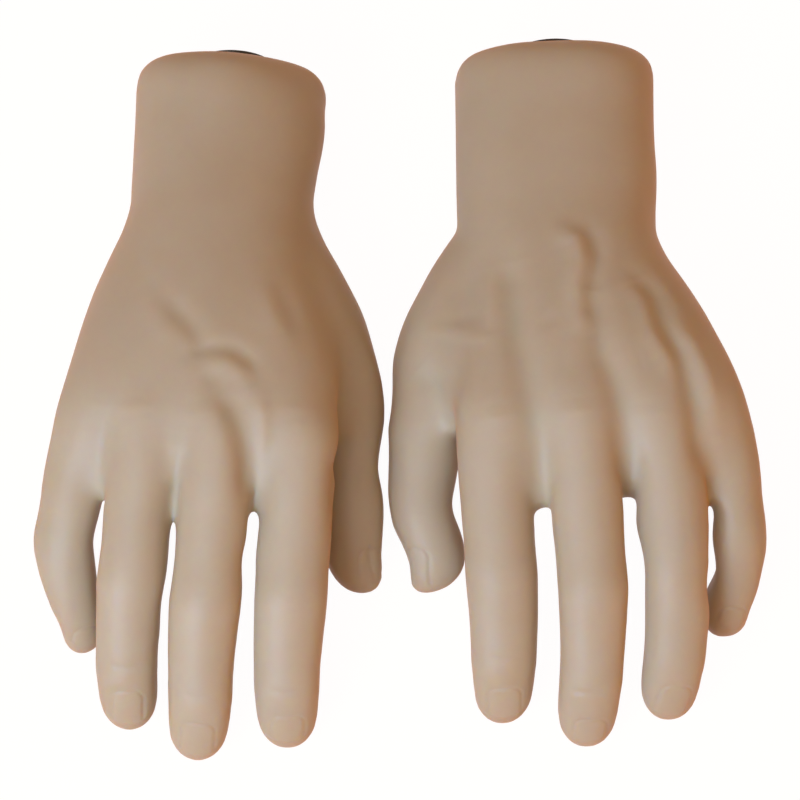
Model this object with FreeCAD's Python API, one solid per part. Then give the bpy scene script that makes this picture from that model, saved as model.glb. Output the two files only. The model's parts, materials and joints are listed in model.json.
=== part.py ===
import FreeCAD, Part
import math
import os
from collections import namedtuple
from FreeCAD import Vector

# A pair of lifelike display hands, a right and a left, lying palm down.
# Each hand is one seamless hollow skin of soft vinyl over a foam core.
# The wrist end has a round mouth, and the flange and neck of a plug turn in it.
# The plug's barrel holds a threaded insert for an arm or a stand.
# +X is to the right, +Y runs from the fingertips to the wrists, +Z is up.
# The origin is on the table, under the centre of the pair.

# Length of each digit along its bones, from its root in the palm to the tip's centre.
digit_lengths = {"thumb": 114.0, "forefinger": 128.5, "middle": 137.0, "ring": 129.5, "little": 105.5}
# How that length is shared among the four bones, the first inside the palm.
bone_shares = {
    "thumb": (0.333, 0.281, 0.237, 0.149),
    "forefinger": (0.311, 0.366, 0.206, 0.117),
    "middle": (0.307, 0.365, 0.204, 0.124),
    "ring": (0.309, 0.367, 0.201, 0.123),
    "little": (0.341, 0.351, 0.185, 0.123),
}
# Width of each digit at its middle joint, or the thumb's at its end joint.
digit_widths = {"thumb": 19.2, "forefinger": 20.6, "middle": 20.2, "ring": 19.6, "little": 17.2}
# Height of each knuckle over the table.
knuckle_heights = {"thumb": 23.0, "forefinger": 44.0, "middle": 47.0, "ring": 45.5, "little": 40.5}

# Palm, wrist and forearm stub.
back_height = 59.0
palm_breadth = 84.0
left_palm_length = 72.0
right_palm_length = 75.5
wrist_thickness = 40.0
wrist_height = 29.0
forearm_width = 62.0
forearm_thickness = 42.0
forearm_height = 24.0
end_rounding = 7.0
left_stub_length = 58.5
right_stub_length = 51.0
# How far apart the two wrists lie, and how far the right one lies behind the left.
wrist_spacing = 100.6
right_wrist_setback = 3.3
# Greatest thickness of the web between the thumb and the palm.
web_thickness = 24.0

# The skin's wall all over, and its thicker end wall round the mouth.
skin_wall = 3.0
end_wall = 5.0

# The plug in the wrist, from its flange inwards, and the insert moulded into it.
flange_radius = 14.0
flange_thickness = 2.0
seat_depth = 1.0
neck_radius = 10.5
barrel_radius = 12.5
barrel_length = 18.0
fit_clearance = 0.3
entry_radius = 4.5
insert_recess = 6.0
insert_radius = 6.0
insert_length = 14.0
thread_radius = 3.4
# How far a cut runs past the face it opens.
cut_overrun = 1.0

# Flat facets round each section.
digit_sides = 14
palm_sides = 24
web_sides = 12
hidden_digit_sides = 6
hidden_palm_sides = 10

Station = namedtuple("Station", "bone share width depth")
PalmStation = namedtuple("PalmStation", "along underside back")
Digit = namedtuple("Digit", "across along headings pitches")
Hand = namedtuple("Hand", "name side wrist_x wrist_y stub girth heading roll palm_length edge_shares digits")

# Sections of a finger: its bone, how far along it, and shares of the finger's width.
finger_station_shares = (
    Station(0, 0.00, 0.70, 0.80),
    Station(0, 0.65, 0.95, 1.12),
    Station(1, 0.00, 1.18, 1.17),
    Station(1, 0.22, 1.14, 1.09),
    Station(1, 0.50, 1.06, 1.00),
    Station(1, 0.80, 1.01, 0.94),
    Station(2, 0.00, 1.03, 0.96),
    Station(2, 0.35, 0.99, 0.90),
    Station(2, 0.75, 0.94, 0.86),
    Station(3, 0.00, 0.93, 0.85),
    Station(3, 0.55, 0.88, 0.80),
)
hidden_finger_stations = (0, 2, 6, 9, 10)
thumb_station_shares = (
    Station(0, 0.00, 0.90, 1.10),
    Station(0, 0.60, 1.25, 1.60),
    Station(1, 0.00, 1.40, 1.70),
    Station(1, 0.50, 1.34, 1.40),
    Station(2, 0.00, 1.17, 1.14),
    Station(2, 0.50, 1.02, 1.00),
    Station(3, 0.00, 1.02, 0.98),
    Station(3, 0.55, 0.94, 0.90),
)
hidden_thumb_stations = (0, 2, 4, 6, 7)
# How far a tip reaches past the last section, as a share of the digit's width.
tip_reach_share = 0.60
tip_turns = (25, 46, 66, 82)
hidden_tip_turns = (45, 75)
# Sections of the web between the thumb's bone and the index finger's, from the wrist to its edge:
# how far along the bones, and shares of the space between them and of the web's thickness.
web_station_shares = (
    (-0.30, 0.90, 0.40),
    (0.05, 1.15, 0.80),
    (0.40, 1.35, 1.00),
    (0.70, 1.40, 0.85),
    (0.95, 1.30, 0.50),
    (1.08, 1.10, 0.22),
)
web_squareness = 2.4

# Sections of the forearm stub, as shares of the way from its end to the wrist.
stub_station_shares = (0.5, 0.82)
# Sections of the palm, as shares of its length and of the height of its back.
palm_station_shares = (
    PalmStation(0.00, 0.150, 0.830),
    PalmStation(0.12, 0.085, 0.860),
    PalmStation(0.26, 0.060, 0.885),
    PalmStation(0.40, 0.130, 0.915),
    PalmStation(0.56, 0.270, 0.945),
    PalmStation(0.76, 0.420, 0.965),
    PalmStation(0.95, 0.510, 0.950),
    PalmStation(1.08, 0.530, 0.870),
    PalmStation(1.19, 0.550, 0.770),
    PalmStation(1.26, 0.580, 0.680),
)
hidden_palm_stations = (0, 2, 4, 6, 8)
palm_squareness = 2.4
digit_squareness = 2.15

# The palm's thumb edge and outer edge at each of those sections, from the palm's axis,
# as shares of its breadth.
left_edge_shares = (
    (-0.369, 0.357), (-0.375, 0.349), (-0.399, 0.376), (-0.429, 0.417),
    (-0.458, 0.462), (-0.482, 0.500), (-0.494, 0.518), (-0.482, 0.500),
    (-0.452, 0.458), (-0.417, 0.405),
)
right_edge_shares = (
    (-0.307, 0.356), (-0.321, 0.375), (-0.363, 0.417), (-0.399, 0.450),
    (-0.435, 0.474), (-0.464, 0.498), (-0.482, 0.524), (-0.476, 0.518),
    (-0.452, 0.470), (-0.417, 0.417),
)
# Where each digit's knuckle stands, as shares of the palm's breadth and length, and how its
# bones lie: headings in degrees outwards from the palm's axis, and pitches in degrees down.
left_digit_shares = {
    "thumb": Digit(-0.467, 0.361, (-33.0, -20.0, -6.5, 4.0), (0, 4, 13, 20)),
    "forefinger": Digit(-0.369, 0.854, (-14.0, -6.7, -7.7, -6.3), (-8, 13, 33, 48)),
    "middle": Digit(-0.077, 0.939, (-4.0, -5.5, -10.0, -12.0), (-8, 13, 33, 46)),
    "ring": Digit(0.206, 0.951, (6.0, -3.2, -11.0, -14.6), (-8, 13, 34, 45)),
    "little": Digit(0.399, 0.932, (16.0, 1.8, -11.6, -17.8), (-6, 17, 38, 50)),
}
right_digit_shares = {
    "thumb": Digit(-0.382, 0.411, (-25.0, -17.5, -5.4, -7.3), (0, 6, 13, 18)),
    "forefinger": Digit(-0.345, 0.987, (-14.0, -0.8, -1.1, -0.9), (-8, 13, 33, 48)),
    "middle": Digit(-0.074, 0.996, (-4.0, 0.8, 0.5, 4.6), (-8, 13, 33, 46)),
    "ring": Digit(0.182, 0.962, (6.0, 1.6, 0.4, -2.9), (-8, 13, 34, 46)),
    "little": Digit(0.387, 0.944, (16.0, 9.5, -11.0, -17.1), (-6, 17, 36, 50)),
}
left_hand = Hand(
    "left", 1, wrist_spacing / 2, 0.0, left_stub_length, 1.0, 9.0, 6.0,
    left_palm_length, left_edge_shares, left_digit_shares,
)
right_hand = Hand(
    "right", -1, -wrist_spacing / 2, right_wrist_setback, right_stub_length, 0.955, 4.0, 12.0,
    right_palm_length, right_edge_shares, right_digit_shares,
)

upwards = Vector(0, 0, 1)
viewer_way = Vector(0, -1, 0)


def unit(vector):
    """The vector's direction, with length one."""
    return vector * (1 / vector.Length)


def turned(direction, axis, degrees):
    """The direction, turned about the axis by the right-hand rule."""
    return FreeCAD.Rotation(axis, degrees).multVec(direction)


def palm_axes(hand, degrees=0.0):
    """The ways ahead and outwards on the table, turned outwards from the palm's axis."""
    angle = hand.side * (hand.heading + degrees)
    return turned(viewer_way, upwards, angle), turned(Vector(hand.side, 0, 0), upwards, angle)


def palm_point(hand, across, along, height):
    """A point from its distance outwards of the palm's axis, past the wrist, and above the table."""
    ahead, outwards = palm_axes(hand)
    wrist = Vector(hand.wrist_x, hand.wrist_y, 0)
    return wrist + outwards * across + ahead * along + upwards * height


def palm_edges(hand, place):
    """The palm's thumb edge and outer edge at a section, from the palm's axis."""
    return [share * palm_breadth for share in hand.edge_shares[place]]


def bones(name):
    """The lengths of a digit's four bones."""
    return [share * digit_lengths[name] for share in bone_shares[name]]


def section(centre, ahead, width, depth, sides, squareness=2.0, roll=0.0):
    """Corners of a flat-sided oval, square to the way ahead."""
    right = turned(unit(upwards.cross(ahead)), ahead, roll)
    lift = ahead.cross(right)
    corners = []
    for step in range(sides):
        angle = 2 * math.pi * (step + 0.5) / sides
        c, s = math.cos(angle), math.sin(angle)
        x = math.copysign(abs(c) ** (2 / squareness), c) * width / 2
        z = math.copysign(abs(s) ** (2 / squareness), s) * depth / 2
        corners.append(centre + right * x + lift * z)
    return corners


def facet(corners):
    """A flat face through the corners."""
    return Part.Face(Part.makePolygon(corners + corners[:1]))


def faceted(sections):
    """A closed solid of flat facets, from the first section to the last."""
    facets = [facet(sections[0][::-1]), facet(sections[-1])]
    for near, far in zip(sections, sections[1:]):
        for step in range(len(near)):
            following = (step + 1) % len(near)
            a, b, c, d = near[step], near[following], far[following], far[step]
            if (c - a).Length < (d - b).Length:
                facets += [facet([a, b, c]), facet([a, c, d])]
            else:
                facets += [facet([a, b, d]), facet([b, c, d])]
    shell = Part.Shell(facets)
    shell.sewShape()
    return Part.Solid(shell)


def digit_skeleton(hand, name):
    """The five joints of a digit, from its root in the palm to the tip's centre, and its bones' ways."""
    digit = hand.digits[name]
    lengths = bones(name)
    ways = []
    for heading, pitch in zip(digit.headings, digit.pitches):
        ahead = palm_axes(hand, heading)[0]
        ways.append(turned(ahead, ahead.cross(upwards), -pitch))
    across, along = digit.across * palm_breadth, digit.along * hand.palm_length
    knuckle = palm_point(hand, across, along, knuckle_heights[name])
    joints = [knuckle - ways[0] * lengths[0], knuckle]
    for way, length in zip(ways[1:], lengths[1:]):
        joints.append(joints[-1] + way * length)
    return joints, ways


def digit_solid(hand, name, inset, sides, stations, turns):
    """One digit with a rounded tip, drawn in by the inset all over."""
    joints, ways = digit_skeleton(hand, name)
    lengths, width = bones(name), digit_widths[name]
    sections = []
    for station in stations:
        way = ways[station.bone]
        centre = joints[station.bone] + way * lengths[station.bone] * station.share
        bend = unit(ways[station.bone - 1] + way) if station.bone and not station.share else way
        wide, deep = width * station.width - 2 * inset, width * station.depth - 2 * inset
        sections.append(section(centre, bend, wide, deep, sides, digit_squareness))
    reach = width * tip_reach_share - inset
    for turn in turns:
        shrink, advance = math.cos(math.radians(turn)), math.sin(math.radians(turn))
        past = centre + way * reach * advance
        sections.append(section(past, way, wide * shrink, deep * shrink, sides, digit_squareness))
    return faceted(sections)


def web_solid(hand):
    """The web that fills the space between the thumb's bone and the forefinger's."""
    thumb_joints, thumb_ways = digit_skeleton(hand, "thumb")
    finger_joints, finger_ways = digit_skeleton(hand, "forefinger")
    sections = []
    for share, width_share, thickness_share in web_station_shares:
        on_thumb = thumb_joints[1] + thumb_ways[1] * bones("thumb")[1] * share
        on_finger = finger_joints[0] + finger_ways[0] * bones("forefinger")[0] * share
        span = on_thumb - on_finger
        thick = web_thickness * thickness_share
        tilt = hand.side * math.degrees(math.asin(-span.z / span.Length))
        ahead = palm_axes(hand, hand.digits["forefinger"].headings[0])[0]
        middle = (on_thumb + on_finger) * 0.5
        wide = span.Length * width_share
        sections.append(section(middle, ahead, wide, thick, web_sides, web_squareness, tilt))
    return faceted(sections)


def stub_end(hand):
    """The middle of the flat end of the forearm stub."""
    return Vector(hand.wrist_x, hand.wrist_y + hand.stub, forearm_height)


def palm_solid(hand, inset, end_inset, sides, stations, end_turns):
    """The forearm stub and the palm in one, drawn in by the insets."""
    end = stub_end(hand)
    left, right = palm_edges(hand, 0)
    crease = palm_point(hand, (left + right) / 2, 0.0, wrist_height)
    roll = hand.side * hand.roll
    sections = []
    for turn in end_turns:
        lost = end_rounding * (1 - math.sin(math.radians(turn)))
        step = end_rounding * (math.cos(math.radians(end_turns[0])) - math.cos(math.radians(turn)))
        centre = end + viewer_way * (end_inset + step)
        wide = forearm_width * hand.girth - 2 * (lost + inset)
        deep = forearm_thickness * hand.girth - 2 * (lost + inset)
        sections.append(section(centre, viewer_way, wide, deep, sides, palm_squareness, roll))
    for share in stub_station_shares:
        centre = end + (crease - end) * share
        wide = forearm_width * hand.girth * (1 - share) + (right - left) * share - 2 * inset
        deep = (forearm_thickness + (wrist_thickness - forearm_thickness) * share) * hand.girth - 2 * inset
        sections.append(section(centre, viewer_way, wide, deep, sides, palm_squareness, roll * (1 - share * 0.4)))
    ahead = palm_axes(hand)[0]
    for place in stations:
        station = palm_station_shares[place]
        left, right = palm_edges(hand, place)
        low, high = station.underside * back_height, station.back * back_height
        along = station.along * hand.palm_length
        centre = palm_point(hand, (left + right) / 2, along, (low + high) / 2)
        fading_roll = roll * 0.6 * max(0.0, 1 - station.along / 0.5)
        way = ahead if station.along else unit(ahead + viewer_way)
        wide, deep = right - left - 2 * inset, high - low - 2 * inset
        sections.append(section(centre, way, wide, deep, sides, palm_squareness, fading_roll))
    return faceted(sections)


def chosen(stations, places):
    """The stations at the given places in their list."""
    return [stations[place] for place in places]


def outer_form(hand):
    """The whole hand as one solid, outside faces only."""
    places = range(len(palm_station_shares))
    body = palm_solid(hand, 0.0, 0.0, palm_sides, places, (0, 30, 60, 90))
    parts = [web_solid(hand)]
    parts.append(digit_solid(hand, "thumb", 0.0, digit_sides, thumb_station_shares, tip_turns))
    for name in ("forefinger", "middle", "ring", "little"):
        parts.append(digit_solid(hand, name, 0.0, digit_sides, finger_station_shares, tip_turns))
    return body.fuse(parts)


def inner_form(hand, inset, end_inset):
    """The hand's inside, drawn in from the outer form, with plainer facets."""
    finger_stations = chosen(finger_station_shares, hidden_finger_stations)
    thumb_stations = chosen(thumb_station_shares, hidden_thumb_stations)
    body = palm_solid(hand, inset, end_inset, hidden_palm_sides, hidden_palm_stations, (30, 90))
    sides, turns = hidden_digit_sides, hidden_tip_turns
    parts = [digit_solid(hand, "thumb", inset, sides, thumb_stations, turns)]
    for name in ("forefinger", "middle", "ring", "little"):
        parts.append(digit_solid(hand, name, inset, sides, finger_stations, turns))
    return body.fuse(parts)


def spun(profile, place):
    """A solid of revolution about +Y from (radius, distance out of the wrist) corners."""
    corners = [Vector(radius, out, 0) for radius, out in profile]
    turned_solid = facet(corners).revolve(Vector(0, 0, 0), Vector(0, 1, 0), 360)
    turned_solid.translate(place)
    return turned_solid


def drum(radius, start, end, place):
    """A cylinder about +Y, from one distance out of the wrist to another."""
    return spun([(0, start), (radius, start), (radius, end), (0, end)], place)


flange_face = flange_thickness - seat_depth
barrel_front = -end_wall - fit_clearance
barrel_back = barrel_front - barrel_length
insert_front = -insert_recess
insert_back = insert_front - insert_length


def wrist_plug(place):
    """The plug: a flange in the seat, a neck in the lip, and a barrel behind it round the insert."""
    body = spun([
        (0, barrel_back),
        (barrel_radius, barrel_back),
        (barrel_radius, barrel_front),
        (neck_radius, barrel_front),
        (neck_radius, -seat_depth),
        (flange_radius, -seat_depth),
        (flange_radius, flange_face),
        (0, flange_face),
    ], place)
    entry = drum(entry_radius, insert_front, flange_face, place)
    return body.cut([drum(insert_radius, insert_back, insert_front, place), entry])


def threaded_insert(place):
    """The insert with its bore, open right through."""
    outside = drum(insert_radius, insert_back, insert_front, place)
    return outside.cut(drum(thread_radius, insert_back, insert_front, place))


def hand_pieces(hand):
    """Every separate piece of one hand, by name."""
    place = stub_end(hand)
    cavity = inner_form(hand, skin_wall, end_wall)
    mouth = drum(neck_radius + fit_clearance, -end_wall - cut_overrun, 0, place)
    seat = drum(flange_radius + fit_clearance, -seat_depth, cut_overrun, place)
    skin = outer_form(hand).cut([cavity, mouth, seat])
    room = drum(barrel_radius + fit_clearance, barrel_back - fit_clearance, 0, place)
    return {
        hand.name + "_hand_skin": skin,
        hand.name + "_foam_core": cavity.cut(room),
        hand.name + "_wrist_plug": wrist_plug(place),
        hand.name + "_threaded_insert": threaded_insert(place),
    }


def corners_of(pieces):
    """Every corner of the pieces."""
    return [corner.Point for shape in pieces.values() for corner in shape.Vertexes]


def set_down(pieces):
    """Lowers one hand's pieces until it rests on the table, and gives how far."""
    drop = min(point.z for point in corners_of(pieces))
    for shape in pieces.values():
        shape.translate(Vector(0, 0, -drop))
    return drop


def centre_pair(pieces):
    """Moves the pair so that the origin is under the middle of its box, and gives the middle."""
    points = corners_of(pieces)
    middle_x = (min(point.x for point in points) + max(point.x for point in points)) / 2
    middle_y = (min(point.y for point in points) + max(point.y for point in points)) / 2
    for shape in pieces.values():
        shape.translate(Vector(-middle_x, -middle_y, 0))
    return Vector(middle_x, middle_y, 0)


pieces = {}
drops = {}
for hand in (right_hand, left_hand):
    of_this_hand = hand_pieces(hand)
    drops[hand.name] = set_down(of_this_hand)
    pieces.update(of_this_hand)
middle = centre_pair(pieces)
os.makedirs("parts", exist_ok=True)
for name, shape in pieces.items():
    shape.exportStep("parts/" + name + ".step")
    print(name, len(shape.Solids), "solid", shape.isValid(), round(shape.Volume / 1000, 1), "cm3", len(shape.Faces))
for hand in (right_hand, left_hand):
    end = stub_end(hand) - middle - upwards * drops[hand.name]
    print(hand.name, "wrist end", [round(value, 3) for value in end], "drop", round(drops[hand.name], 3))
print("middle", [round(value, 3) for value in middle])
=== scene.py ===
"""Looks of a pair of display hands: soft vinyl skins, dark wrist plugs and brass inserts."""

import json
import math

import bmesh
import bpy
import numpy as np
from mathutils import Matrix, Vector
from mathutils.bvhtree import BVHTree


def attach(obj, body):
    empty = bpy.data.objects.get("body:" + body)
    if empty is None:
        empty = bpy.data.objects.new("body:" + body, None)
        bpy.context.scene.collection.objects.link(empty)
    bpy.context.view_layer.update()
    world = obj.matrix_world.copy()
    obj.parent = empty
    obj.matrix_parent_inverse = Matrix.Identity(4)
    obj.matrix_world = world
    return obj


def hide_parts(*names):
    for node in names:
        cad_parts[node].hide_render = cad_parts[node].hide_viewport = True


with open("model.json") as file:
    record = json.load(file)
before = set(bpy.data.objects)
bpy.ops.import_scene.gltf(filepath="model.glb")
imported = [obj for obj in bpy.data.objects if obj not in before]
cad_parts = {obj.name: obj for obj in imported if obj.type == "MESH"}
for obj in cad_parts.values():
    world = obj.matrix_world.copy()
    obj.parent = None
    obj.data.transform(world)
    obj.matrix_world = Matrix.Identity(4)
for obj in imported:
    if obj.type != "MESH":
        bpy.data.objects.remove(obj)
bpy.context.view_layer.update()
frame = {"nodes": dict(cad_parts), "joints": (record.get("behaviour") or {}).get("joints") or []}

MM = 0.001

# The photograph's view, from the fingertip side and steeply from above.
PHOTO_SIDE = 800
FOCAL_LENGTH_PX = 2644
VIEW_ELEVATION = math.radians(70)
VIEW_DISTANCE = 780 * MM
VIEW_TARGET = Vector((-0.18, -7.97, 33.0)) * MM
VIEW_AHEAD = Vector((0, math.cos(VIEW_ELEVATION), -math.sin(VIEW_ELEVATION)))
VIEW_UP = Vector((0, math.sin(VIEW_ELEVATION), math.cos(VIEW_ELEVATION)))
VIEW_RIGHT = Vector((1, 0, 0))
EYE = VIEW_TARGET - VIEW_AHEAD * VIEW_DISTANCE

# The mouth in the wrist end that the plug's flange sits in.
MOUTH_RADIUS = 15 * MM
MOUTH_DEPTH = 12 * MM
MERGE_GAP = 0.01 * MM

# Finish of the moulded skin: the grid of the draft, and how far its facets are eased.
SKIN_GRID = 0.9 * MM
EASING_ROUNDS = 220
EASING_PUSH = 0.6
EASING_PULL = 0.61

# Smoothing that isn't pulled back, of the back of the hand, of what faces up and of corners.
# It grows from nothing at a FROM value to its whole at a FULL one.
SMOOTHING_PUSH = 0.8
SMOOTHING_PULL = 0.0
BACK_EASING_ROUNDS = 95
TOP_EASING_ROUNDS = 45
CORNER_EASING_ROUNDS = 130
BACK_FROM_Y = -40 * MM
BACK_FULL_Y = -14 * MM
BACK_FROM_Z = 28 * MM
BACK_FULL_Z = 42 * MM
TOP_FROM = 0.3
TOP_FULL = 0.9

# A shift's middle lies this deep under the skin, and a stroke fades in over this many half widths.
SHIFT_DEPTH = 8 * MM
STROKE_FADE = 1.6

# The inside keeps this wall, and is cut through the wrist end with this overrun.
LEAST_WALL = 1.0 * MM
MOUTH_OVERRUN = 3.0 * MM

# Sizes of the materials' patterns, and how deep each one is.
MOTTLE_SIZE = 14 * MM
VINYL_GRAIN = 0.6 * MM
VINYL_GRAIN_DEPTH = 0.1 * MM
PLASTIC_GRAIN = 0.5 * MM
PLASTIC_GRAIN_DEPTH = 0.05 * MM
FOAM_CELL = 0.8 * MM
FOAM_CELL_DEPTH = 0.3 * MM
LATHE_LINE = 1.2 * MM
LATHE_LINE_DEPTH = 0.03 * MM
# How far red light travels inside the vinyl.
LIGHT_TRAVEL = 7 * MM

# Sockets of a colour Mix node, which share their names.
MIX_FACTOR = 0
MIX_FIRST = 6
MIX_SECOND = 7
MIX_RESULT = 2

# The floor reaches this far in metres. Seen straight, this share of it is a plain white glow.
FLOOR_REACH = 12
FLOOR_GLOW_SHARE = 0.9
FLOOR_GLOW = 1.08

# Lamps, all turned to the hands: name, place and size in metres, watts and colour.
LAMP_AIM = Vector((0, 0, 0.03))
LAMPS = (
    ("key_softbox", (-0.50, -0.60, 0.62), 0.5, 10.5, "#BEDAFF"),
    ("warm_reflector", (0.8, -0.35, 0.14), 0.5, 1.3, "#FFAE5C"),
    ("top_softbox", (-0.1, -0.3, 1.4), 1.0, 6.8, "#E6F0FF"),
)
ROOM_LIGHT = 0.41


def linear(hex_colour):
    """An sRGB hex colour as linear red, green, blue and alpha."""
    channels = [int(hex_colour[i:i + 2], 16) / 255 for i in (1, 3, 5)]
    return [c / 12.92 if c <= 0.04045 else ((c + 0.055) / 1.055) ** 2.4 for c in channels] + [1.0]


def add_node(material, kind, settings=(), **links):
    """Adds a shader node; a link's value is a number or colour, or an output socket."""
    node = material.node_tree.nodes.new(kind)
    for name, value in dict(settings).items():
        setattr(node, name, value)
    for name, value in links.items():
        socket = node.inputs[name.replace("_", " ")]
        if isinstance(value, bpy.types.NodeSocket):
            material.node_tree.links.new(value, socket)
        else:
            socket.default_value = value
    return node


def smooth_share(low, high, value):
    """0 up to low, 1 from high, and a soft slope between."""
    share = np.clip((value - low) / (high - low), 0, 1)
    return share * share * (3 - 2 * share)


def on_skin(tree, pixel):
    """The point of the hand that the photograph shows at a pixel."""
    across, down = ((place - PHOTO_SIDE / 2) / FOCAL_LENGTH_PX for place in pixel)
    return tree.ray_cast(EYE, (VIEW_AHEAD + VIEW_RIGHT * across - VIEW_UP * down).normalized())[0]


def wrist_of(side):
    """The middle of the flat wrist end."""
    return Vector(next(j["pos_m"] for j in frame["joints"] if j["name"] == side + "_wrist_turn"))


def linked_faces(start, barred):
    """All faces joined to the first by their edges, short of the barred ones."""
    found, waiting = {start}, [start]
    while waiting:
        for edge in waiting.pop().edges:
            for face in edge.link_faces:
                if face not in found and face not in barred:
                    found.add(face)
                    waiting.append(face)
    return found


def skin_walls(side):
    """The moulded skin's outside, closed over the mouth, and its mouth and inside, as two forms."""
    wrist = wrist_of(side)
    outside = bmesh.new()
    outside.from_mesh(frame["nodes"][side + "_hand_skin"].data)
    bmesh.ops.remove_doubles(outside, verts=outside.verts, dist=MERGE_GAP)
    inside = outside.copy()
    for form, kept in ((outside, True), (inside, False)):
        near = {v for v in form.verts if v.co.y > wrist.y - MOUTH_DEPTH}
        near = {v for v in near if math.hypot(v.co.x - wrist.x, v.co.z - wrist.z) < MOUTH_RADIUS}
        mouth = {f for f in form.faces if near.issuperset(f.verts)}
        lowest = min(form.verts, key=lambda v: v.co.z)
        outer = linked_faces(lowest.link_faces[0], mouth)
        bmesh.ops.delete(form, geom=[f for f in form.faces if (f in outer) != kept], context="FACES")
    bmesh.ops.holes_fill(outside, edges=[e for e in outside.edges if e.is_boundary])
    return outside, inside


def as_mesh(form, name):
    """A mesh from a form, which is then let go."""
    mesh = bpy.data.meshes.new(name)
    form.to_mesh(mesh)
    form.free()
    return mesh


def after_modifier(mesh, kind, **settings):
    """The mesh after one modifier."""
    draft = bpy.data.objects.new("draft", mesh)
    bpy.context.scene.collection.objects.link(draft)
    modifier = draft.modifiers.new(kind.lower(), kind)
    for name, value in settings.items():
        setattr(modifier, name, value)
    made = bpy.data.meshes.new_from_object(draft.evaluated_get(bpy.context.evaluated_depsgraph_get()))
    bpy.data.objects.remove(draft)
    return made


def read(items, name, width=3):
    """One property of all points or edges, as rows of an array."""
    rows = np.empty(len(items) * width, np.int32 if name == "vertices" else np.float64)
    items.foreach_get(name, rows)
    return rows.reshape(-1, width)


def eased(mesh, rounds, push, pull, share=1.0):
    """Rubs out facets: each point moves towards its neighbours' middle, then back by the pull."""
    near, far = read(mesh.edges, "vertices", 2).T
    points = read(mesh.vertices, "co")
    count = len(points)
    around = (np.bincount(near, minlength=count) + np.bincount(far, minlength=count))[:, None]
    weight = np.broadcast_to(share, count)[:, None]

    def middles():
        total = np.empty_like(points)
        for axis in range(3):
            total[:, axis] = np.bincount(near, points[far, axis], count)
            total[:, axis] += np.bincount(far, points[near, axis], count)
        return total / around

    for _ in range(rounds):
        points += (middles() - points) * push * weight
        points -= (middles() - points) * pull * weight
    mesh.vertices.foreach_set("co", points.ravel())
    mesh.update()


def surface_of(mesh):
    """The skin as a tree that rays can meet."""
    form = bmesh.new()
    form.from_mesh(mesh)
    tree = BVHTree.FromBMesh(form)
    form.free()
    return tree


def shifted(mesh, shifts):
    """Moves soft regions of the skin sideways, forwards or up, in mm."""
    points = read(mesh.vertices, "co")
    tree = surface_of(mesh)
    moved = np.zeros_like(points)
    for pixel, reach, shift in shifts:
        middle = np.array(on_skin(tree, pixel)) - np.array((0, 0, SHIFT_DEPTH))
        gap = np.linalg.norm(points - middle, axis=1)
        moved += np.exp(-(gap / (reach * MM)) ** 2)[:, None] * np.array(shift) * MM
    points += moved
    mesh.vertices.foreach_set("co", points.ravel())
    mesh.update()


def near_pixels(mesh, spots):
    """How near each point lies to spots given by a pixel of the photograph and a reach in mm."""
    points = read(mesh.vertices, "co")
    tree = surface_of(mesh)
    share = np.zeros(len(points))
    for pixel, reach in spots:
        gap = np.linalg.norm(points - np.array(on_skin(tree, pixel)), axis=1)
        share = np.maximum(share, np.exp(-(gap / (reach * MM)) ** 2))
    return share


def finer(mesh, nails):
    """Splits the skin's grid round each nail."""
    tree = surface_of(mesh)
    form = bmesh.new()
    form.from_mesh(mesh)
    middles = [(on_skin(tree, root) + on_skin(tree, tip)) / 2 for root, tip, width in nails]
    near = [e for e in form.edges if min((e.verts[0].co - m).length for m in middles) < NAIL_REACH]
    bmesh.ops.subdivide_edges(form, edges=near, cuts=1, use_grid_fill=True)
    form.to_mesh(mesh)
    form.free()


def nailed(mesh, nails):
    """Lifts each nail's plate a little and sinks a fold round its root and sides."""
    tree = surface_of(mesh)
    for root_pixel, tip_pixel, width in nails:
        points, ways = read(mesh.vertices, "co"), read(mesh.vertices, "normal")
        root, tip = np.array(on_skin(tree, root_pixel)), np.array(on_skin(tree, tip_pixel))
        from_middle = np.linalg.norm(points - (root + tip) / 2, axis=1)
        near = from_middle < NAIL_REACH
        length = np.linalg.norm(tip - root)
        ahead = (tip - root) / length
        outwards = ways[from_middle < NAIL_CORE].mean(0)
        across = np.cross(ahead, outwards)
        across /= np.linalg.norm(across)
        outwards = np.cross(across, ahead)
        from_root = points - root
        sideways = from_root @ across / (width * MM / 2)
        forward = from_root @ ahead - ROOT_ARCH * sideways ** 2
        past_tip = forward - (length + NAIL_TIP) + TIP_ARCH * sideways ** 2
        past_side = (np.abs(sideways) - 1) * width * MM / 2 + ROOT_CORNER
        past_root = ROOT_CORNER - forward
        corner = np.hypot(np.maximum(past_side, 0), np.maximum(past_root, 0))
        outside = corner + np.minimum(np.maximum(past_side, past_root), 0) - ROOT_CORNER
        outside = np.maximum(outside, past_tip)
        plate = smooth_share(PLATE_EDGE, -PLATE_EDGE, outside)
        fold = np.exp(-(outside / FOLD_WIDTH) ** 2) * (past_tip < -FOLD_STOP)
        facing = np.clip(ways @ outwards * NAIL_FACING, 0, 1)
        lift = (PLATE_LIFT * plate - FOLD_DEPTH * fold) * facing * near
        points += ways * lift[:, None]
        mesh.vertices.foreach_set("co", points.ravel())
        mesh.update()


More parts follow.
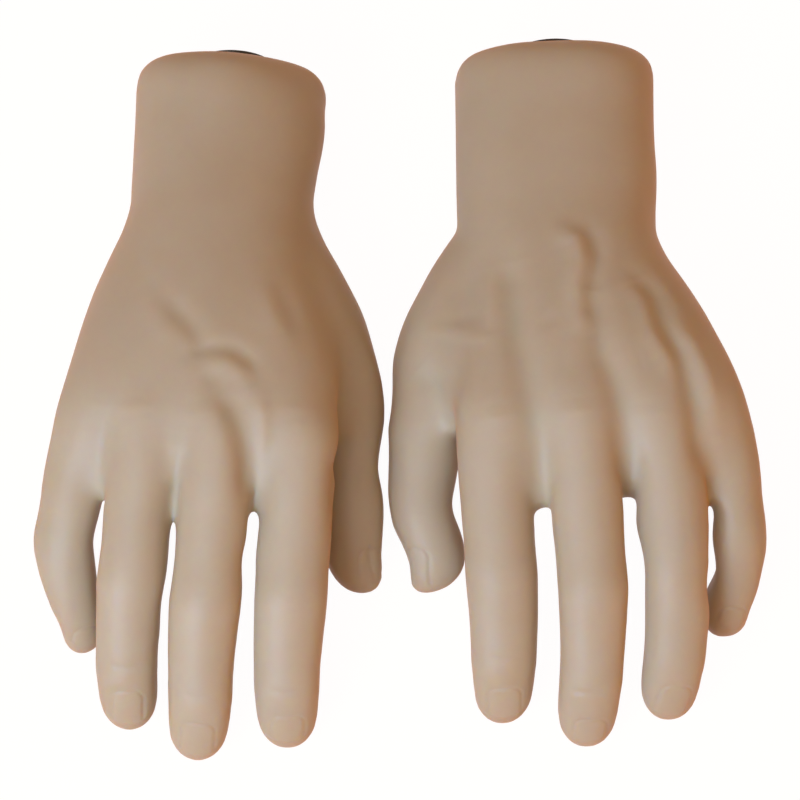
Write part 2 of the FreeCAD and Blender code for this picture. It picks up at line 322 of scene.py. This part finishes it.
def worked(mesh, strokes):
    """Raises ridges and sinks grooves along strokes over the skin, drawn on the photograph."""
    points, ways = read(mesh.vertices, "co"), read(mesh.vertices, "normal")
    tree = surface_of(mesh)
    moved = np.zeros(len(points))
    for height, width, pixels in strokes:
        route = [on_skin(tree, pixel) for pixel in pixels]
        route = np.array([place for place in route if place])
        nearest = np.full(len(points), np.inf)
        along = np.zeros(len(points))
        runs = np.linalg.norm(np.diff(route, axis=0), axis=1)
        for place, run, start, end in zip(np.cumsum(runs) - runs, runs, route, route[1:]):
            share = np.clip((points - start) @ (end - start) / run ** 2, 0, 1)
            gap = np.linalg.norm(points - start - share[:, None] * (end - start), axis=1)
            along = np.where(gap < nearest, (place + share * run) / runs.sum(), along)
            nearest = np.minimum(nearest, gap)
        end_gap = np.minimum(along, 1 - along) * runs.sum()
        fading = smooth_share(-width * MM, STROKE_FADE * width * MM, end_gap)
        moved += height * MM * fading * np.exp(-(nearest / (width * MM)) ** 2)
    points += ways * moved[:, None]
    mesh.vertices.foreach_set("co", points.ravel())
    mesh.update()


def hollowed(mesh, inside):
    """The skin with its mouth and inside cut out, where a wall is left all round."""
    tree = surface_of(mesh)
    for vert in inside.verts:
        place, way = tree.find_nearest(vert.co)[:2]
        if (place - vert.co).dot(way) < LEAST_WALL and not vert.is_boundary:
            vert.co = place - way * LEAST_WALL
    grown = bmesh.ops.extrude_edge_only(inside, edges=[e for e in inside.edges if e.is_boundary])
    lip = [v for v in grown["geom"] if isinstance(v, bmesh.types.BMVert)]
    bmesh.ops.translate(inside, verts=lip, vec=(0, MOUTH_OVERRUN, 0))
    bmesh.ops.holes_fill(inside, edges=[e for e in inside.edges if e.is_boundary])
    bmesh.ops.recalc_face_normals(inside, faces=inside.faces)
    cutter = bpy.data.objects.new("cutter", as_mesh(inside, "cutter"))
    bpy.context.scene.collection.objects.link(cutter)
    made = after_modifier(mesh, "BOOLEAN", operation="DIFFERENCE", object=cutter, solver="EXACT")
    bpy.data.objects.remove(cutter)
    return made


# What all nails share: their reach, the curve of root and tip, the plate's lift and the fold's size.
NAIL_REACH = 8.5 * MM
NAIL_CORE = 3 * MM
NAIL_TIP = 1.2 * MM
NAIL_FACING = 2
ROOT_ARCH = 0.8 * MM
TIP_ARCH = 2 * ROOT_ARCH
ROOT_CORNER = 2.4 * MM
PLATE_LIFT = 0.12 * MM
PLATE_EDGE = 0.3 * MM
FOLD_DEPTH = 0.2 * MM
FOLD_WIDTH = 0.6 * MM
FOLD_STOP = 1.0 * MM
# Nails: the middle of the root and of the tip in pixels of the photograph, and the width in mm.
NAILS = {
    "left": (
        ((505, 689), (505, 716), 9.6),
        ((592, 720), (589, 743), 9.6),
        ((680, 687), (669, 715), 9.4),
        ((735, 608), (730, 624), 8.0),
        ((416, 548), (419, 588), 7.6),
    ),
    "right": (
        ((127, 692), (127, 722), 9.0),
        ((198, 724), (196, 753), 9.8),
        ((288, 717), (287, 740), 9.8),
        ((88, 628), (87, 644), 8.0),
        ((372, 548), (372, 582), 9.0),
    ),
}
# Corners of the draft to rub out: a pixel on them and the reach in mm.
SOFT_CORNERS = {
    "left": (((408, 312), 14.0), ((761, 520), 9.0), ((393, 385), 9.0), ((708, 575), 7.0)),
    "right": (((363, 310), 14.0), ((39, 537), 9.0), ((381, 418), 9.0), ((312, 212), 9.0)),
}
# Soft shifts of fingers, thumbs, webs and rims: the middle's pixel, and reach and shift in mm.
SHIFTS = {
    "left": (
        ((420, 490), 11.0, (-2.8, 0.0, 0.0)),
        ((408, 552), 6.0, (1.4, 0.0, 0.0)),
        ((420, 575), 6.5, (-1.8, -2.4, 0.0)),
        ((520, 58), 13.0, (0.0, 0.0, 2.3)),
        ((590, 58), 13.0, (0.0, 0.0, 2.1)),
        ((628, 64), 10.0, (0.3, 0.0, 1.1)),
        ((402, 350), 12.0, (-1.2, 0.0, 0.0)),
        ((394, 465), 9.0, (-0.8, 0.0, 0.0)),
        ((744, 440), 14.0, (1.4, 0.0, 0.0)),
        ((752, 500), 9.0, (0.7, 0.0, 0.0)),
        ((732, 624), 6.0, (0.0, 1.2, 0.0)),
        ((503, 620), 17.0, (1.0, 0.0, 0.0)),
        ((590, 650), 16.0, (0.5, 0.0, 0.0)),
        ((672, 685), 12.0, (-0.7, 0.0, 0.0)),
        ((642, 520), 6.0, (-1.2, 0.0, 0.0)),
        ((452, 575), 6.0, (-0.6, 0.8, 0.0)),
        ((545, 500), 5.0, (0.0, 0.9, 0.0)),
        ((655, 240), 10.0, (-0.7, 0.0, 0.0)),
        ((482, 680), 8.0, (0.6, 0.0, 0.0)),
        ((712, 330), 12.0, (-0.6, 0.0, 0.0)),
        ((450, 500), 6.0, (-2.4, 0.0, 0.0)),
        ((706, 575), 6.5, (-1.7, 0.0, 0.0)),
        ((718, 560), 6.5, (3.4, 0.0, 0.0)),
        ((718, 538), 5.0, (1.4, 0.0, 0.0)),
        ((704, 540), 5.0, (-0.9, 0.0, 0.0)),
        ((704, 514), 6.0, (0.0, 5.0, 0.0)),
        ((716, 505), 6.0, (2.8, 0.0, 0.0)),
        ((758, 530), 9.0, (1.2, 0.0, 0.0)),
        ((750, 602), 9.0, (-1.3, 0.0, 0.0)),
        ((445, 440), 6.0, (0.0, -3.5, 0.0)),
        ((640, 160), 9.0, (0.6, 0.0, 0.6)),
    ),
    "right": (
        ((372, 570), 6.5, (2.4, -2.2, 0.0)),
        ((350, 570), 6.0, (0.0, -1.4, 0.0)),
        ((374, 460), 9.0, (-1.6, 0.0, 0.0)),
        ((165, 72), 10.0, (-0.4, 0.0, 3.5)),
        ((308, 84), 9.0, (-0.4, 0.0, -1.2)),
        ((316, 130), 10.0, (1.1, 0.0, 0.0)),
        ((340, 272), 14.0, (-1.3, 0.0, 0.0)),
        ((376, 395), 9.0, (0.7, 0.0, 0.0)),
        ((378, 485), 6.0, (0.5, 0.0, 0.0)),
        ((378, 545), 6.0, (-0.7, 0.0, 0.0)),
        ((362, 578), 8.0, (0.0, -0.8, 0.0)),
        ((56, 450), 14.0, (-1.4, 0.0, 0.0)),
        ((62, 628), 7.0, (1.4, 0.0, 0.0)),
        ((128, 640), 16.0, (-0.6, 0.0, 0.0)),
        ((203, 640), 16.0, (-0.5, 0.0, 0.0)),
        ((288, 660), 16.0, (-0.7, 0.0, 0.0)),
        ((238, 550), 6.0, (-1.2, 0.0, 0.0)),
        ((163, 590), 6.0, (-0.8, 0.0, 0.0)),
        ((322, 245), 8.0, (-1.2, 0.0, 0.0)),
        ((225, 70), 14.0, (0.0, 0.0, 3.4)),
        ((44, 530), 9.0, (-1.9, 0.0, 0.0)),
        ((54, 606), 8.0, (2.2, 0.0, 0.0)),
        ((176, 520), 7.0, (0.0, 7.0, 0.0)),
        ((176, 503), 9.0, (0.0, 2.6, 0.0)),
        ((247, 514), 5.0, (-1.6, 0.0, 0.0)),
        ((269, 514), 5.0, (1.8, 0.0, 0.0)),
    ),
}
# Strokes over the back of each hand: height and half width in mm, then pixels of the photograph.
# Valleys between the bones of the hand come first, then tendons, veins, creases and dimples.
STROKES = {
    "left": (
        (-1.6, 5.0, ((508, 262), (510, 300), (515, 333), (523, 360), (532, 400), (538, 433), (542, 480))),
        (-1.6, 4.5, ((588, 290), (595, 327), (603, 357), (615, 380), (623, 407), (625, 440), (629, 482))),
        (-0.8, 3.0, ((591, 228), (598, 255), (590, 290))),
        (-1.7, 4.5, (
            (637, 278), (653, 297), (662, 323), (677, 347),
            (688, 373), (696, 400), (700, 440), (706, 470),
        )),
        (-1.6, 4.5, ((420, 367), (433, 387), (446, 415), (452, 432))),
        (1.3, 3.6, ((560, 230), (576, 241), (581, 260), (577, 287), (582, 310), (590, 335))),
        (1.1, 3.4, ((633, 284), (646, 300), (650, 317), (655, 335), (669, 356), (676, 375))),
        (0.9, 3.6, ((676, 325), (692, 345), (707, 380), (713, 410))),
        (0.9, 4.5, ((490, 270), (493, 300), (496, 330))),
        (0.35, 2.4, ((430, 329), (455, 332), (477, 337), (496, 338))),
        (-0.25, 2.6, ((452, 319), (470, 317), (492, 319))),
        (-0.35, 2.4, ((536, 330), (546, 322), (559, 314))),
        (-0.5, 5.0, ((556, 362), (570, 366))),
        (-0.4, 4.0, ((636, 362), (646, 360))),
        (-0.26, 1.0, ((571, 690), (589, 693), (606, 690))),
        (-0.26, 1.0, ((490, 656), (506, 659), (522, 656))),
        (0.7, 6.5, ((497, 405), (499, 430))),
        (0.8, 6.5, ((577, 398), (579, 424))),
        (0.7, 6.0, ((654, 402), (656, 426))),
    ),
    "right": (
        (-0.9, 4.6, ((106, 405), (104, 433), (101, 462), (97, 482))),
        (0.7, 3.0, ((176, 435), (175, 460), (174, 485))),
        (-1.7, 4.5, ((222, 395), (234, 410), (244, 432), (248, 460), (247, 500))),
        (0.8, 2.6, ((262, 400), (262, 440), (258, 500))),
        (-1.6, 5.0, ((347, 365), (343, 407), (340, 440), (337, 473), (333, 517))),
        (-0.6, 3.2, ((166, 300), (180, 313), (197, 331), (202, 345), (192, 358))),
        (0.5, 3.8, ((150, 300), (162, 324), (178, 342))),
        (-0.6, 3.0, ((190, 354), (212, 347), (234, 349), (249, 361), (255, 374))),
        (0.8, 3.6, ((212, 359), (229, 363), (242, 373), (246, 386))),
        (-0.5, 3.2, ((205, 368), (217, 388))),
        (0.7, 6.0, ((133, 398), (134, 416))),
        (0.8, 6.5, ((205, 400), (206, 425))),
        (0.7, 6.5, ((287, 398), (288, 420))),
        (-0.4, 4.5, ((128, 385), (148, 392))),
        (-0.35, 0.9, ((372, 543), (369, 553), (371, 566), (375, 583))),
        (-0.26, 1.0, ((112, 665), (126, 668), (140, 665))),
        (-0.26, 1.0, ((272, 690), (287, 693), (302, 690))),
        (-0.26, 1.0, ((184, 694), (198, 698), (214, 694))),
        (0.5, 4.2, ((262, 280), (270, 305), (279, 334))),
        (-0.4, 3.4, ((280, 290), (291, 313), (299, 335))),
    ),
}


def skin_piece(side, vinyl):
    """The moulded skin of one hand, which rides that hand and takes the place of its CAD skin."""
    outside, inside = skin_walls(side)
    mesh = after_modifier(as_mesh(outside, "outside"), "REMESH", mode="VOXEL", voxel_size=SKIN_GRID)
    eased(mesh, EASING_ROUNDS, EASING_PUSH, EASING_PULL)
    points = read(mesh.vertices, "co")
    on_back = smooth_share(BACK_FROM_Y, BACK_FULL_Y, points[:, 1])
    on_back *= smooth_share(BACK_FROM_Z, BACK_FULL_Z, points[:, 2])
    eased(mesh, BACK_EASING_ROUNDS, SMOOTHING_PUSH, SMOOTHING_PULL, on_back)
    on_top = smooth_share(TOP_FROM, TOP_FULL, read(mesh.vertices, "normal")[:, 2])
    eased(mesh, TOP_EASING_ROUNDS, SMOOTHING_PUSH, SMOOTHING_PULL, on_top)
    at_corners = near_pixels(mesh, SOFT_CORNERS[side])
    eased(mesh, CORNER_EASING_ROUNDS, SMOOTHING_PUSH, SMOOTHING_PULL, at_corners)
    shifted(mesh, SHIFTS[side])
    worked(mesh, STROKES[side])
    finer(mesh, NAILS[side])
    nailed(mesh, NAILS[side])
    mesh = hollowed(mesh, inside)
    for polygon in mesh.polygons:
        polygon.use_smooth = True
    mesh.name = side + "_vinyl_skin"
    piece = bpy.data.objects.new(side + "_vinyl_skin", mesh)
    bpy.context.scene.collection.objects.link(piece)
    piece.data.materials.append(vinyl)
    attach(piece, side + "_hand")
    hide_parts(side + "_hand_skin")


def new_material(name):
    """An empty material and its shader."""
    material = bpy.data.materials.new(name)
    material.use_nodes = True
    return material, material.node_tree.nodes["Principled BSDF"]


def skin_vinyl():
    """Soft vinyl, cast in a turning mould: matte skin colour, warm where light comes through."""
    # Cast pigment is never quite even, so the tone drifts a little over a finger's width. The
    # mould's blasted face leaves a grain of about 0.1 mm, drawn coarser here to show at all, and
    # its soft plasticiser gives sides seen at a slant a faint warm bloom.
    material, shader = new_material("matte_rotocast_vinyl")
    shader.inputs["Roughness"].default_value = 0.5
    shader.inputs["Specular IOR Level"].default_value = 0.4
    shader.inputs["Sheen Weight"].default_value = 0.3
    shader.inputs["Sheen Roughness"].default_value = 0.4
    shader.inputs["Sheen Tint"].default_value = linear("#E8862E")
    shader.inputs["Subsurface Weight"].default_value = 0.7
    shader.inputs["Subsurface Radius"].default_value = (1.0, 0.42, 0.15)
    shader.inputs["Subsurface Scale"].default_value = LIGHT_TRAVEL
    place = add_node(material, "ShaderNodeTexCoord").outputs["Object"]
    mottle = add_node(material, "ShaderNodeTexNoise", Vector=place, Scale=1 / MOTTLE_SIZE, Detail=3.0)
    grain = add_node(material, "ShaderNodeTexNoise", Vector=place, Scale=1 / VINYL_GRAIN, Detail=4.0)
    tone = add_node(material, "ShaderNodeMix", {"data_type": "RGBA"})
    tone.inputs[MIX_FIRST].default_value = linear("#B09F82")
    tone.inputs[MIX_SECOND].default_value = linear("#B6A78C")
    material.node_tree.links.new(mottle.outputs["Fac"], tone.inputs[MIX_FACTOR])
    material.node_tree.links.new(tone.outputs[MIX_RESULT], shader.inputs["Base Color"])
    relief = add_node(
        material, "ShaderNodeBump",
        Height=grain.outputs["Fac"], Strength=0.12, Distance=VINYL_GRAIN_DEPTH,
    )
    material.node_tree.links.new(relief.outputs["Normal"], shader.inputs["Normal"])
    return material


def black_plastic():
    """Injection-moulded polypropylene: near-black grey, satin, with the mould's spark-worn grain."""
    # The real grain is nearer 0.1 mm and is drawn coarser to show.
    material, shader = new_material("moulded_polypropylene")
    shader.inputs["Base Color"].default_value = linear("#3A3A38")
    shader.inputs["Roughness"].default_value = 0.5
    place = add_node(material, "ShaderNodeTexCoord").outputs["Object"]
    grain = add_node(material, "ShaderNodeTexNoise", Vector=place, Scale=1 / PLASTIC_GRAIN, Detail=3.0)
    relief = add_node(
        material, "ShaderNodeBump",
        Height=grain.outputs["Fac"], Strength=0.2, Distance=PLASTIC_GRAIN_DEPTH,
    )
    material.node_tree.links.new(relief.outputs["Normal"], shader.inputs["Normal"])
    return material


def filling_foam():
    """Poured polyurethane foam: cream and quite dull, pitted by open cells about 0.8 mm wide."""
    material, shader = new_material("polyurethane_foam")
    shader.inputs["Base Color"].default_value = linear("#E2D6B4")
    shader.inputs["Roughness"].default_value = 0.95
    place = add_node(material, "ShaderNodeTexCoord").outputs["Object"]
    cells = add_node(material, "ShaderNodeTexVoronoi", Vector=place, Scale=1 / FOAM_CELL)
    relief = add_node(
        material, "ShaderNodeBump",
        Height=cells.outputs["Distance"], Strength=0.6, Distance=FOAM_CELL_DEPTH,
    )
    material.node_tree.links.new(relief.outputs["Normal"], shader.inputs["Normal"])
    return material


def turned_brass():
    """Turned brass: bright yellow metal whose lathe lines run round the insert's axis."""
    # A lathe leaves lines about 0.1 mm apart. They are drawn further apart to show.
    material, shader = new_material("turned_brass")
    shader.inputs["Base Color"].default_value = linear("#C9A15A")
    shader.inputs["Metallic"].default_value = 1.0
    shader.inputs["Roughness"].default_value = 0.3
    place = add_node(material, "ShaderNodeTexCoord").outputs["Object"]
    lathe_lines = add_node(
        material, "ShaderNodeTexWave", {"bands_direction": "Y"}, Vector=place, Scale=1 / LATHE_LINE
    )
    relief = add_node(
        material, "ShaderNodeBump",
        Height=lathe_lines.outputs["Fac"], Strength=0.3, Distance=LATHE_LINE_DEPTH,
    )
    material.node_tree.links.new(relief.outputs["Normal"], shader.inputs["Normal"])
    return material


def photo_camera():
    """The camera at the photograph's angle."""
    data = bpy.data.cameras.new("camera")
    data.sensor_width = 36
    data.lens = data.sensor_width * FOCAL_LENGTH_PX / PHOTO_SIDE
    camera = bpy.data.objects.new("camera", data)
    camera.location = EYE
    camera.rotation_euler = (math.pi / 2 - VIEW_ELEVATION, 0, 0)
    bpy.context.scene.collection.objects.link(camera)
    bpy.context.scene.camera = camera


def soft_lamp(name, place, size, strength, colour):
    """A square soft light that faces the hands."""
    data = bpy.data.lights.new(name, "AREA")
    data.size = size
    data.energy = strength
    data.color = linear(colour)[:3]
    lamp = bpy.data.objects.new(name, data)
    lamp.location = place
    lamp.rotation_mode = "QUATERNION"
    lamp.rotation_quaternion = (LAMP_AIM - Vector(place)).to_track_quat("-Z", "Y")
    bpy.context.scene.collection.objects.link(lamp)


def floor():
    """Matte paper, seen as white with a soft shadow, that throws warm light up at the hands."""
    material, shader = new_material("white_paper")
    shader.inputs["Base Color"].default_value = linear("#E2A462")
    shader.inputs["Roughness"].default_value = 0.9
    seen = add_node(material, "ShaderNodeLightPath")
    direct = add_node(material, "ShaderNodeMath", {"operation": "MAXIMUM"})
    material.node_tree.links.new(seen.outputs["Is Camera Ray"], direct.inputs[0])
    material.node_tree.links.new(seen.outputs["Is Glossy Ray"], direct.inputs[1])
    veil = add_node(material, "ShaderNodeMath", {"operation": "MULTIPLY"})
    material.node_tree.links.new(direct.outputs[0], veil.inputs[0])
    veil.inputs[1].default_value = FLOOR_GLOW_SHARE
    white = add_node(material, "ShaderNodeEmission", Color=linear("#FFFFFF"), Strength=FLOOR_GLOW)
    mixed = add_node(material, "ShaderNodeMixShader", Fac=veil.outputs[0])
    material.node_tree.links.new(shader.outputs[0], mixed.inputs[1])
    material.node_tree.links.new(white.outputs[0], mixed.inputs[2])
    output = material.node_tree.nodes["Material Output"]
    material.node_tree.links.new(mixed.outputs[0], output.inputs["Surface"])
    form = bmesh.new()
    bmesh.ops.create_grid(form, x_segments=1, y_segments=1, size=FLOOR_REACH)
    mesh = bpy.data.meshes.new("floor")
    form.to_mesh(mesh)
    form.free()
    plane = bpy.data.objects.new("floor", mesh)
    plane.data.materials.append(material)
    bpy.context.scene.collection.objects.link(plane)


vinyl = skin_vinyl()
plug_plastic = black_plastic()
brass = turned_brass()
foam = filling_foam()
photo_camera()
skin_piece("right", vinyl)
skin_piece("left", vinyl)
for side in ("right", "left"):
    for node, material in (
        (side + "_wrist_plug", plug_plastic),
        (side + "_threaded_insert", brass),
        (side + "_foam_core", foam),
    ):
        frame["nodes"][node].data.materials.clear()
        frame["nodes"][node].data.materials.append(material)
floor()
for name, place, size, strength, colour in LAMPS:
    soft_lamp(name, place, size, strength, colour)
world = bpy.data.worlds.new("studio")
world.use_nodes = True
room = world.node_tree.nodes["Background"]
room.inputs["Color"].default_value = linear("#FFB668")
room.inputs["Strength"].default_value = ROOM_LIGHT
bpy.context.scene.world = world
bpy.context.scene.view_settings.view_transform = "Standard"
